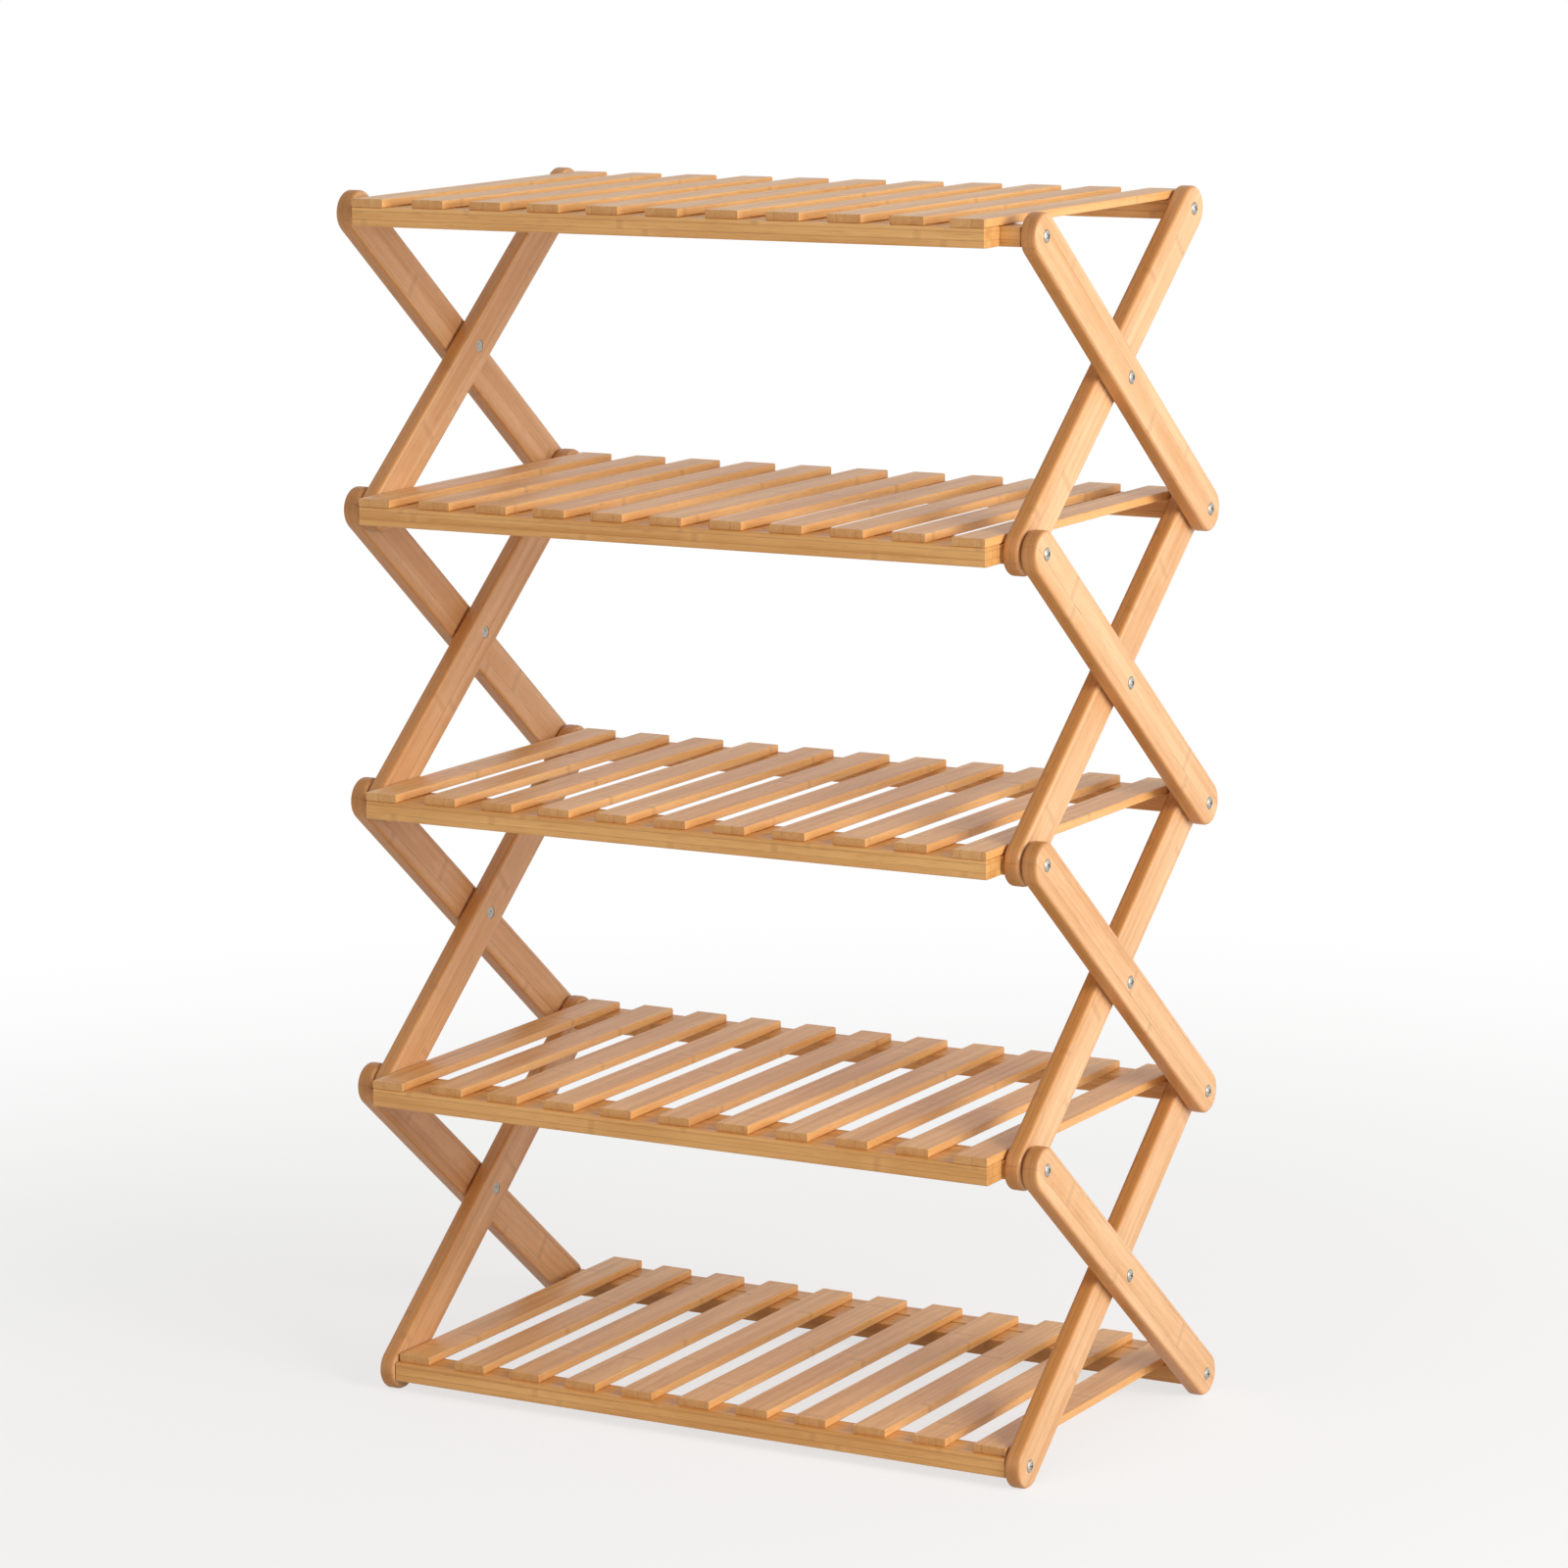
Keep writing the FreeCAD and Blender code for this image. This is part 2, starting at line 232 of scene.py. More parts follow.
def rounded_board(tree, width, height, corner, thickness, rim, corner_steps, rim_steps):
    """A closed board in the XY plane, centred, with its thickness along Z."""
    rectangle = tree.node("GeometryNodeCurvePrimitiveQuadrilateral", None, {0: width, 1: height})
    outline = tree.node("GeometryNodeFilletCurve", {"mode": "POLY"},
                        {0: rectangle, 1: corner_steps, 2: corner, 3: True})
    outline = store(tree, outline, "outline", tree.node("GeometryNodeInputPosition"))
    path = tree.node("GeometryNodeCurvePrimitiveLine", None, {1: (0, 0, 1)})
    path = tree.node("GeometryNodeResampleCurve", {"mode": "COUNT"}, {0: path, 2: 2 * rim_steps + 2})
    path = store(tree, path, "ring", tree.node("GeometryNodeInputIndex"), "FLOAT")
    board = tree.node("GeometryNodeCurveToMesh", None, {0: path, 1: outline, 3: True})
    ring = recall(tree, "ring", "FLOAT")
    turn = tree.maths("MINIMUM", ring, (2 * rim_steps + 1) - ring) * (math.pi / 2 / rim_steps)
    drawn_in = (1 - turn.maths("SINE")) * rim
    lift = thickness * 0.5 - (1 - turn.maths("COSINE")) * rim
    up = (ring > rim_steps + 0.5) * 2 - 1
    place = recall(tree, "outline")
    x, y = tree.split(place)[:2]
    core_x = width * 0.5 - corner
    core_y = height * 0.5 - corner
    near_x = x.maths("MAXIMUM", core_x * -1).maths("MINIMUM", core_x)
    near_y = y.maths("MAXIMUM", core_y * -1).maths("MINIMUM", core_y)
    outwards = tree.vector("NORMALIZE", tree.vector("SUBTRACT", place, tree.xyz(near_x, near_y, 0)))
    out_x, out_y = tree.split(outwards)[:2]
    spot = tree.xyz(x - out_x * drawn_in, y - out_y * drawn_in, up * lift)
    board = tree.node("GeometryNodeSetPosition", None, {"Geometry": board, "Position": spot})
    board = tree.node("GeometryNodeMergeByDistance", None, {0: board, 2: MERGE_DISTANCE})
    return tree.node("GeometryNodeSetShadeSmooth", None, {0: board})


print("board recipe ready")

# %% [markdown]
# Slats, crossbars and battens are strips of bamboo with eased edges. They could be copied with
# an Array modifier, but then all would carry the same marks. One tree makes a row of them
# instead: eleven for a shelf, one for a bar. It stores each point's own place along, across and
# through its strip as the attribute "grain", and a random "piece" value for each strip. The
# finish reads both, so the fibres follow every strip and no two strips are alike.

# %% A row of strips
STRIP_SIZES = {"Count": "int", "Pitch": "float", "Length": "float", "Inner Length": "float",
               "Width": "float", "Thickness": "float", "Edge Radius": "float", "End Radius": "float",
               "Centre": "vector", "Inner Shift": "float", "Turn": "float", "Seed": "int",
               "Finish": "material"}
strips, size = geometry_tree("row_of_strips", STRIP_SIZES)


def strip(length):
    board = rounded_board(strips, size["Width"], size["Thickness"], size["Edge Radius"], length,
                          size["End Radius"], corner_steps=4, rim_steps=2)
    laid = strips.node("GeometryNodeTransform", None,
                       {0: board, "Rotation": (math.pi / 2, 0, math.pi / 2)})
    laid = store(strips, laid, "grain", strips.node("GeometryNodeInputPosition"))
    way = strips.vector("ABSOLUTE", strips.node("GeometryNodeInputNormal"))
    return store(strips, laid, "way", way, domain="FACE")


half_row = (size["Count"] - 1) * size["Pitch"] * 0.5
row = strips.node("GeometryNodeMeshLine", {"mode": "OFFSET"},
                  {"Count": size["Count"], "Offset": strips.xyz(size["Pitch"], 0, 0),
                   "Start Location": strips.xyz(half_row * -1, 0, 0)})
row = strips.node("GeometryNodeSetPosition", None, {"Geometry": row, "Offset": size["Centre"]})
index = strips.node("GeometryNodeInputIndex")
is_end = ((index - (size["Count"] - 1) * 0.5).maths("ABSOLUTE") > size["Count"] * 0.5 - 0.75)
is_inner = 1 - is_end
facing = strips.xyz(0, 0, size["Turn"])
outer_strips = strips.node("GeometryNodeInstanceOnPoints", None,
                           {"Points": row, "Selection": is_end, "Instance": strip(size["Length"]),
                            "Rotation": facing})
moved = strips.node("GeometryNodeSetPosition", None,
                    {"Geometry": row, "Offset": strips.xyz(0, size["Inner Shift"], 0)})
inner_strips = strips.node("GeometryNodeInstanceOnPoints", None,
                           {"Points": moved, "Selection": is_inner,
                            "Instance": strip(size["Inner Length"]), "Rotation": facing})
all_strips = strips.node("GeometryNodeJoinGeometry", None, {0: [outer_strips, inner_strips]})
chance = random_vector(strips, {"Seed": size["Seed"]})
all_strips = store(strips, all_strips, "piece", chance, domain="INSTANCE")
strip_tree = finish_tree(strips, all_strips, size["Finish"])
print("strip tree has", len(strip_tree.nodes), "nodes")

# %% [markdown]
# The legs carry the whole rack and follow one rule: a flat strip with round ends, centred on
# two pivots. The tree takes the two pivots and makes the leg between them, so all sixteen come
# from it. It drills the three bores, sinks a seat for the rivet's inner head, and flattens
# whatever would pass the floor. A Boolean cuts real holes, which show at an angle as bump can't.

# %% The leg, drilled and stood on the floor
LEG_SIZES = {"Lower Pivot": "vector", "Upper Pivot": "vector", "Width": "float", "Thickness": "float",
             "Rim Radius": "float", "Bore Radius": "float", "Sink Radius": "float",
             "Sink Depth": "float", "Outward": "vector", "Seed": "int", "Finish": "material"}
ALMOST_HALF = 0.4999
BORE_SIDES = 28
SINK_SIDES = 36
LEG_CHANCE_SEED = 7
legs, size = geometry_tree("leg_between_pivots", LEG_SIZES)
along = legs.vector("SUBTRACT", size["Upper Pivot"], size["Lower Pivot"])
reach = legs.length(along)
blank = rounded_board(legs, reach + size["Width"], size["Width"], size["Width"] * ALMOST_HALF,
                      size["Thickness"], size["Rim Radius"], corner_steps=20, rim_steps=5)
drill = legs.node("GeometryNodeMeshCylinder", None,
                  {"Vertices": BORE_SIDES, "Radius": size["Bore Radius"],
                   "Depth": size["Thickness"] * 2})
bore_places = legs.node("GeometryNodeMeshLine", {"mode": "OFFSET"},
                        {"Count": 3, "Start Location": legs.xyz(reach * -0.5, 0, 0),
                         "Offset": legs.xyz(reach * 0.5, 0, 0)})
drills = legs.node("GeometryNodeInstanceOnPoints", None, {"Points": bore_places, "Instance": drill})
drills = legs.node("GeometryNodeRealizeInstances", None, {0: drills})
sinker = legs.node("GeometryNodeMeshCylinder", None,
                   {"Vertices": SINK_SIDES, "Radius": size["Sink Radius"],
                    "Depth": size["Sink Depth"] * 2})
sinker = legs.node("GeometryNodeTransform", None,
                   {0: sinker, "Translation": legs.xyz(0, 0, size["Thickness"] * -0.5)})
drilled = legs.node("GeometryNodeMeshBoolean", {"operation": "DIFFERENCE", "solver": "EXACT"},
                    {"Mesh 1": blank, "Mesh 2": [drills]})
sunk = legs.node("GeometryNodeMeshBoolean", {"operation": "DIFFERENCE", "solver": "EXACT"},
                 {"Mesh 1": drilled, "Mesh 2": [sinker]})
leg = store(legs, sunk, "grain", legs.node("GeometryNodeInputPosition"))
way = legs.vector("ABSOLUTE", legs.node("GeometryNodeInputNormal"))
leg = store(legs, leg, "way", way, domain="FACE")
chance = random_vector(legs, {"ID": size["Seed"], "Seed": LEG_CHANCE_SEED})
leg = store(legs, leg, "piece", chance)
slope = legs.node("FunctionNodeAxesToRotation", {"primary_axis": "X", "secondary_axis": "Z"},
                  {0: along, 1: size["Outward"]})
middle = legs.vector("MULTIPLY", legs.vector("ADD", size["Upper Pivot"], size["Lower Pivot"]),
                     (0.5, 0.5, 0.5))
leg = legs.node("GeometryNodeTransform", None, {0: leg, "Translation": middle, "Rotation": slope})
x, y, z = legs.split(legs.node("GeometryNodeInputPosition"))
on_floor = legs.xyz(x, y, z.maths("MAXIMUM", 0))
leg = legs.node("GeometryNodeSetPosition", None, {"Geometry": leg, "Position": on_floor})
leg_tree = finish_tree(legs, leg, size["Finish"])
print("leg tree has", len(leg_tree.nodes), "nodes")

# %% [markdown]
# Screws, rivets, washers and nails are turned parts, so each is a profile spun round an axis.
# Their heads are low domes with a cross recess. Two crossed bars, narrower at the bottom as a
# driver's tip is, cut it with a Boolean.

# %% Helpers for turned hardware
def turned(name, profile, steps, closed=False):
    """Spin a profile of (radius, height) pairs, in millimetres, round the Z axis."""
    shape = bmesh.new()
    ring = [shape.verts.new((radius * MM, 0, height * MM)) for radius, height in profile]
    pairs = zip(ring, ring[1:] + ring[:1]) if closed else zip(ring, ring[1:])
    edges = [shape.edges.new(pair) for pair in pairs]
    bmesh.ops.spin(shape, geom=ring + edges, angle=math.tau, steps=steps, axis=(0, 0, 1), cent=(0, 0, 0))
    bmesh.ops.remove_doubles(shape, verts=shape.verts, dist=0.001 * MM)
    bmesh.ops.recalc_face_normals(shape, faces=shape.faces)
    for face in shape.faces:
        face.smooth = True
    mesh = bpy.data.meshes.new(name)
    shape.to_mesh(mesh)
    shape.free()
    return bpy.data.objects.new(name, mesh)


def dome(radius, rise, steps=7):
    """Profile of a low dome, from its middle down to its rim."""
    ball = (radius ** 2 + rise ** 2) / (2 * rise)
    reach = math.asin(radius / ball)
    turns = [reach * step / steps for step in range(steps + 1)]
    return [(ball * math.sin(turn), rise - ball + ball * math.cos(turn)) for turn in turns]


CROSS_TAPER = 0.86


def with_recess(master, length, width, floor, top):
    """Cut a cross into the top of a head."""
    cross = bmesh.new()
    for long_x, long_y in ((length, width), (width, length)):
        block = bmesh.ops.create_cube(cross, size=1)["verts"]
        for vertex in block:
            narrowing = CROSS_TAPER if vertex.co.z < 0 else 1.0
            vertex.co.x *= long_x * MM * narrowing
            vertex.co.y *= long_y * MM * narrowing
            vertex.co.z = (floor if vertex.co.z < 0 else top) * MM
    tool_mesh = bpy.data.meshes.new("cross_tool")
    cross.to_mesh(tool_mesh)
    cross.free()
    tool = bpy.data.objects.new("cross_tool", tool_mesh)
    for thing in (master, tool):
        bpy.context.scene.collection.objects.link(thing)
    cutter = master.modifiers.new("recess", "BOOLEAN")
    cutter.object = tool
    cutter.use_self = True
    bpy.context.view_layer.update()
    evaluated = master.evaluated_get(bpy.context.evaluated_depsgraph_get())
    cut = bpy.data.objects.new(master.name + "_cut", bpy.data.meshes.new_from_object(evaluated))
    for thing in (master, tool):
        bpy.data.objects.remove(thing)
    return cut


print("hardware helpers ready")

# %% [markdown]
# One master of each fastener is made along Z, with the face it sits on at height zero. Profiles
# are (radius, height) pairs in millimetres, from the top of the axis outwards and down. The
# rivet's tail ends in its inner head, and the nail has few sides because there are 110 of them.

# %% The four masters
HEAD_RADIUS = 4.75
HEAD_RISE = 1.6
SHANK_RADIUS = 2.5
HEAD_STEPS = 40
WASHER_STEPS = 48
NAIL_STEPS = 12
CROSS = {"length": 5, "width": 1, "floor": 0.6, "top": 3}

head = dome(HEAD_RADIUS, HEAD_RISE) + [(SHANK_RADIUS, 0)]
screw_tail = [(SHANK_RADIUS, -40), (1.1, -42.6), (0, -44)]
screw = with_recess(turned("screw", head + screw_tail, HEAD_STEPS), **CROSS)
rivet_tail = [(SHANK_RADIUS, -24.6), (4.3, -24.6), (4.5, -24.8), (4.5, -25.9), (4.3, -26.1),
              (2.0, -26.1), (1.7, -25.7), (0, -25.7)]
rivet = with_recess(turned("rivet", head + rivet_tail, HEAD_STEPS), **CROSS)
washer_ring = [(2.6, 0.1), (2.6, 0.9), (2.7, 1), (7.9, 1), (8, 0.9), (8, 0.1), (7.9, 0), (2.7, 0)]
washer = turned("washer", washer_ring, WASHER_STEPS, closed=True)
nail_profile = [(0, -0.25), (0.8, -0.2), (1.35, -0.08), (1.6, 0.06), (1.6, 0.6), (0.8, 0.6),
                (0.8, 15), (0, 16.8)]
nail = turned("nail", nail_profile, NAIL_STEPS)
print("faces: screw", len(screw.data.polygons), "rivet", len(rivet.data.polygons),
      "washer", len(washer.data.polygons), "nail", len(nail.data.polygons))

# %% [markdown]
# A fastener is the same piece set at many points, each pointing its own way, and no fitter
# leaves two crosses at the same angle. Copies placed by hand would need a turn each, so the
# tree sets a master on every point of the base mesh, aims it along "facing", and twists it by a
# seeded random turn, which comes out the same on every run.

# %% Fasteners on points
FASTENER_SIZES = {"Master": "object", "Seed": "int", "Twist": "float", "Finish": "material"}
fasteners, size = geometry_tree("fasteners_on_points", FASTENER_SIZES)
master = fasteners.node("GeometryNodeObjectInfo", None, {"Object": size["Master"]}, output=4)
master = store(fasteners, master, "grain", fasteners.node("GeometryNodeInputPosition"))
aim = fasteners.node("FunctionNodeAlignRotationToVector", {"axis": "Z"},
                     {"Vector": recall(fasteners, "facing")})
angle = fasteners.node("FunctionNodeRandomValue", {"data_type": "FLOAT"},
                       {2: size["Twist"] * -1, 3: size["Twist"], "Seed": size["Seed"]}, output=1)
twist = fasteners.node("FunctionNodeAxisAngleToRotation", None, {"Axis": (0, 0, 1), "Angle": angle})
aim = fasteners.node("FunctionNodeRotateRotation", {"rotation_space": "LOCAL"}, {0: aim, 1: twist})
placed = fasteners.node("GeometryNodeInstanceOnPoints", None,
                        {"Points": size["Geometry"], "Instance": master, "Rotation": aim})
chance = random_vector(fasteners, {"Seed": size["Seed"]})
placed = store(fasteners, placed, "piece", chance, domain="INSTANCE")
fastener_tree = finish_tree(fasteners, placed, size["Finish"])
print("fastener tree has", len(fastener_tree.nodes), "nodes")

# %% [markdown]
# Finishes share a few steps: a soft threshold, a blend of two colours, and a stored attribute.
# Each is one short function here. The attributes were stored by the trees above, so a pattern
# stays with its own strip or screw when the rack folds.

# %% Helpers for finishes
def smooth(value, low, high):
    """0 below low, 1 above high, and a soft step between."""
    return value.tree.node("ShaderNodeMapRange", {"interpolation_type": "SMOOTHSTEP"},
                           {0: value, 1: low, 2: high, 3: 0, 4: 1})


def blend_colours(tree, factor, first, second):
    return tree.node("ShaderNodeMix", {"data_type": "RGBA"}, {0: factor, 6: first, 7: second}, output=2)


def new_finish(name):
    finish = bpy.data.materials.new(name)
    finish.use_nodes = True
    finish.node_tree.nodes.clear()
    return finish, Tree(finish.node_tree)


def attribute(tree, name, output=1):
    return tree.node("ShaderNodeAttribute", {"attribute_name": name}, output=output)


def output_surface(tree, surface):
    tree.add("ShaderNodeOutputMaterial", None, {"Surface": surface})


print("finish helpers ready")

# %% [markdown]
# Laminated bamboo is straw-coloured strips glued side by side and varnished. Its marks all run
# with the grain: fine fibres, short dark flecks, glue lines, and a knuckle across each strip
# every so often. A picture of bamboo would repeat and would need unwrapping. Noise stretched
# along "grain" gives as many different strips as there are, at the right scale on each.

# %% The bamboo finish
KNUCKLE_GAP = 0.23
BROWN = (0.30, 0.115, 0.028, 1)
DARKEST_MARK = 0.62
PORE_SCALE = 1100


def bamboo(name, pale, honey, edge, edge_strength, lane_width, layer_height, layer_offset):
    """Strips lie side by side in lanes and one above another in layers, in metres."""
    finish, tree = new_finish(name)
    grain = attribute(tree, "grain")
    piece = attribute(tree, "piece")
    chance_a, chance_b, chance_c = tree.split(piece)
    way = tree.split(attribute(tree, "way"))
    towards_end, towards_face = way[0], way[2]
    along, across, through = tree.split(grain)
    moved = tree.vector("ADD", grain, tree.vector("MULTIPLY", piece, (5, 5, 5)))

    def streaks(along_scale, across_scale, detail):
        stretched = tree.vector("MULTIPLY", moved, (along_scale, across_scale, across_scale))
        return tree.node("ShaderNodeTexNoise", None, {"Vector": stretched, "Scale": 1, "Detail": detail})

    fibres = streaks(9, 620, 3)
    flecks = smooth(streaks(55, 2300, 1), 0.60, 0.72)
    mottle = smooth(streaks(7, 55, 2), 0.34, 0.66)
    bands = smooth(streaks(2.5, 190, 2), 0.38, 0.62)
    lane = across * (1 / lane_width) + chance_a
    layer = through * (1 / layer_height) + layer_offset
    lane_number = lane.maths("FLOOR")
    layer_number = layer.maths("FLOOR")
    strip_chance = tree.node("ShaderNodeTexWhiteNoise", {"noise_dimensions": "3D"},
                             {"Vector": tree.xyz(lane_number, layer_number, chance_b * 40)})
    lane_gap = (0.5 - (lane - lane_number - 0.5).maths("ABSOLUTE")) * lane_width
    layer_gap = (0.5 - (layer - layer_number - 0.5).maths("ABSOLUTE")) * layer_height
    joint = 1 - smooth(lane_gap.maths("MINIMUM", layer_gap), 0.0001, 0.0006)
    knuckle_at = (along * (1 / KNUCKLE_GAP) + strip_chance * 7.3 + chance_c).maths("FRACT")
    knuckle_gap = (knuckle_at - 0.5).maths("ABSOLUTE") * KNUCKLE_GAP
    knuckle = 1 - smooth(knuckle_gap, 0.0008, 0.0042)
    swelling = 1 - smooth(knuckle_gap, 0.002, 0.016)
    tone = fibres * 0.5 + mottle * 0.32 + bands * 0.30 + strip_chance * 0.30 + chance_b * 0.14 - 0.30
    colour = blend_colours(tree, tone, pale, honey)
    colour = blend_colours(tree, swelling * 0.30, colour, pale)
    colour = blend_colours(tree, smooth(towards_face, 0.95, 0.55) * edge_strength, colour, edge)
    marks = flecks * 0.34 + joint * 0.30 + knuckle * 0.24
    colour = blend_colours(tree, marks.maths("MINIMUM", DARKEST_MARK), colour, BROWN)
    end = smooth(towards_end, 0.55, 0.95)
    pores = tree.node("ShaderNodeTexVoronoi", None,
                      {"Vector": tree.xyz(0, across + chance_a, through + chance_b),
                       "Scale": PORE_SCALE})
    end_dark = end * (0.55 - smooth(pores, 0.1, 0.5) * 0.35)
    colour = blend_colours(tree, end_dark, colour, BROWN)
    rough = 0.40 + fibres * 0.16 + flecks * 0.12 + end * 0.15
    height = fibres * 0.45 + knuckle * 0.7 - joint * 0.9 - flecks * 0.3
    relief = tree.node("ShaderNodeBump", None, {"Strength": 0.45, "Distance": 0.00018, "Height": height})
    surface = tree.node("ShaderNodeBsdfPrincipled", None,
                        {"Base Color": colour, "Roughness": rough, "Normal": relief,
                         "Coat Weight": 0.22, "Coat Roughness": 0.28, "IOR": 1.46})
    output_surface(tree, surface)
    return finish


print("bamboo recipe ready")

# %% [markdown]
# Three cuts of the same bamboo are used. Legs are wide lanes with honey-brown edges, bars show
# narrow layers on their faces, and slats are one layer thick with edges a little darker.

# %% Three cuts of bamboo
FINISHES = {
    "leg_bamboo": bamboo("leg_bamboo", pale=(0.80, 0.50, 0.268, 1), honey=(0.60, 0.29, 0.105, 1),
                         edge=(0.55, 0.235, 0.06, 1), edge_strength=0.9,
                         lane_width=0.019, layer_height=0.0085, layer_offset=0.0),
    "bar_bamboo": bamboo("bar_bamboo", pale=(0.86, 0.48, 0.165, 1), honey=(0.60, 0.26, 0.058, 1),
                         edge=(0.70, 0.34, 0.09, 1), edge_strength=0.0,
                         lane_width=0.0075, layer_height=0.0058, layer_offset=0.31),
    "slat_bamboo": bamboo("slat_bamboo", pale=(0.88, 0.51, 0.205, 1), honey=(0.64, 0.29, 0.075, 1),
                          edge=(0.80, 0.43, 0.15, 1), edge_strength=0.4,
                          lane_width=0.0165, layer_height=0.03, layer_offset=0.5),
}
print("bamboo finishes:", sorted(FINISHES))

# %% [markdown]
# The hardware is zinc-plated steel: dull, a little blotchy, with turning marks round the axis
# and painted shade in each cross recess. A flat grey would look like plastic at this size. All of
# it is read from the master's own "grain" place, so the marks are centred on every head.

# %% The steel finishes
HEAD_RECESS = 0.00095
NO_RECESS = -1.0
CROSS_REACH = 0.0029
HEAD_FOOT = 0.0003


def steel(name, tint, shade, base_roughness, recess_height):
    finish, tree = new_finish(name)
    grain = attribute(tree, "grain")
    piece = attribute(tree, "piece")
    x, y, z = tree.split(grain)
    radius = tree.length(tree.xyz(x, y, 0))
    moved = tree.vector("ADD", grain, piece)
    blotches = tree.node("ShaderNodeTexNoise", None, {"Vector": moved, "Scale": 420, "Detail": 3})
    rings = tree.node("ShaderNodeTexNoise", {"noise_dimensions": "1D"},
                      {"W": radius + tree.split(piece)[0], "Scale": 5200, "Detail": 2})
    # Mask of the floor and lower walls of the cross recess, which is made rougher and gets painted shade
    recess_shade_mask = (radius < CROSS_REACH) * (z < recess_height) * (z > HEAD_FOOT)
    worn = smooth(blotches, 0.35, 0.7) * 0.6 + rings * 0.3
    colour = blend_colours(tree, worn, tint, shade)
    # Painted shade: the cross recess is painted near black for the shade that falls in it
    colour = blend_colours(tree, recess_shade_mask * 0.75, colour, (0.05, 0.04, 0.03, 1))
    rough = base_roughness + blotches * 0.18 + recess_shade_mask * 0.2
    relief = tree.node("ShaderNodeBump", None,
                       {"Strength": 0.3, "Distance": 0.00005, "Height": rings + blotches})
    surface = tree.node("ShaderNodeBsdfPrincipled", None,
                        {"Base Color": colour, "Metallic": 0.9, "Roughness": rough, "Normal": relief})
    output_surface(tree, surface)
    return finish


FINISHES["screw_steel"] = steel("screw_steel", tint=(0.50, 0.49, 0.45, 1), shade=(0.33, 0.32, 0.28, 1),
                                base_roughness=0.36, recess_height=HEAD_RECESS)
FINISHES["washer_steel"] = steel("washer_steel", tint=(0.50, 0.49, 0.46, 1), shade=(0.36, 0.35, 0.33, 1),
                                 base_roughness=0.38, recess_height=NO_RECESS)
FINISHES["nail_steel"] = steel("nail_steel", tint=(0.42, 0.41, 0.39, 1), shade=(0.28, 0.27, 0.25, 1),
                               base_roughness=0.40, recess_height=NO_RECESS)
print("steel finishes ready")

# %% [markdown]
# Now the sizes are read from the frame, so the visible parts can't drift from the solid ones. A
# pivot is the middle of its crossbar, because each bar is screwed on at the pivots of its legs.
# Everything else is measured from the boxes of parts.

# %% Measure the frame
def middle_and_size(node):
    low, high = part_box(node)
    return (low + high) / 2, high - low


def pivot(tier, end):
    middle = middle_and_size(f"tier_{tier}_{end}_bar")[0]
    return Vector((0, middle.y, middle.z))


outer_middle, outer_extent = middle_and_size("level_2_outer_leg_right")
inner_middle, inner_extent = middle_and_size("level_2_inner_leg_right")
leg_width = 2 * (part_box("level_4_outer_leg_right")[1].z - pivot(5, "front").z)
print("leg", round(leg_width, 4), "wide,", round(outer_extent.x, 4), "thick")
print("pivots", [tuple(round(v, 4) for v in pivot(tier, "front")) for tier in TIERS])

# %% [markdown]
# The legs go in first. Outer legs lean back as they go down and inner legs lean forward. Only
# the inner ones have the seat for the rivet's inner head. A seat depth below zero cuts nothing,
# which lets one tree make both kinds.

# %% Legs
SHANK_BORE = 2.58 * MM
SINK_RADIUS = 4.58 * MM
SINK_DEPTH = 1.7 * MM
NO_SINK = -1.0
LEG_RIM = 3 * MM
FIRST_SEED = {"front_bar": 10, "back_bar": 20, "batten": 30, "slats": 40, "screws": 60, "rivets": 80,
              "washers": 90, "legs": 101, "nails": 120}


def make_leg(level, kind, side_name, seed):
    side = SIDES[side_name]
    low_end, high_end = ("back", "front") if kind == "outer" else ("front", "back")
    middle, extent = (outer_middle, outer_extent) if kind == "outer" else (inner_middle, inner_extent)
    shift = Vector((side * middle.x, 0, 0))
    sizes = {"Lower Pivot": pivot(level, low_end) + shift,
             "Upper Pivot": pivot(level + 1, high_end) + shift,
             "Width": leg_width, "Thickness": extent.x, "Rim Radius": LEG_RIM,
             "Bore Radius": SHANK_BORE, "Sink Radius": SINK_RADIUS,
             "Sink Depth": SINK_DEPTH if kind == "inner" else NO_SINK,
             "Outward": (side, 0, 0), "Seed": seed, "Finish": FINISHES["leg_bamboo"]}
    node = f"level_{level}_{kind}_leg_{side_name}"
    leg = grow("bamboo_" + node, leg_tree, sizes)
    stand_for(leg, node)
    return leg


leg_seed = FIRST_SEED["legs"]
for level in LEVELS:
    for kind in ("outer", "inner"):
        for side_name in SIDES:
            made = make_leg(level, kind, side_name, leg_seed)
            leg_seed += 1
print("legs made, the last with", len(made.data.polygons), "faces")

# %% [markdown]
# Crossbars hold the two sides apart, and the batten under a shelf's free edge hooks over one of
# them. Both are rows of one strip, lying across the rack, so the strip tree makes them too.

# %% Bars and battens
BAR_EDGE = 1.5 * MM
BAR_END_EDGE = 0.5 * MM


def make_bar(node, seed):
    middle, extent = middle_and_size(node)
    sizes = {"Count": 1, "Pitch": 0.0, "Length": extent.x, "Inner Length": extent.x,
             "Width": extent.y, "Thickness": extent.z, "Edge Radius": BAR_EDGE,
             "End Radius": BAR_END_EDGE, "Centre": middle, "Inner Shift": 0.0, "Turn": 0.0,
             "Seed": seed, "Finish": FINISHES["bar_bamboo"]}
    bar = grow("bamboo_" + node, strip_tree, sizes)
    stand_for(bar, node)


print("a crossbar measures", [round(side, 4) for side in middle_and_size("tier_1_back_bar")[1]])

# %% [markdown]
# The slats of a shelf are one row of eleven, with gaps that let air and dust through. The two
# end slats reach the batten's outer face and the nine between stop short of it, so the tree has
# a second, inner length and a shift that keeps the other ends in line. Each tier's bars, batten
# and slats are made together.

# %% Slats
SLAT_COUNT = 11
SLAT_WIDTH = 26 * MM
SLAT_INSET = 4.5 * MM
SLAT_EDGE = 1 * MM
SLAT_END_EDGE = 0.4 * MM


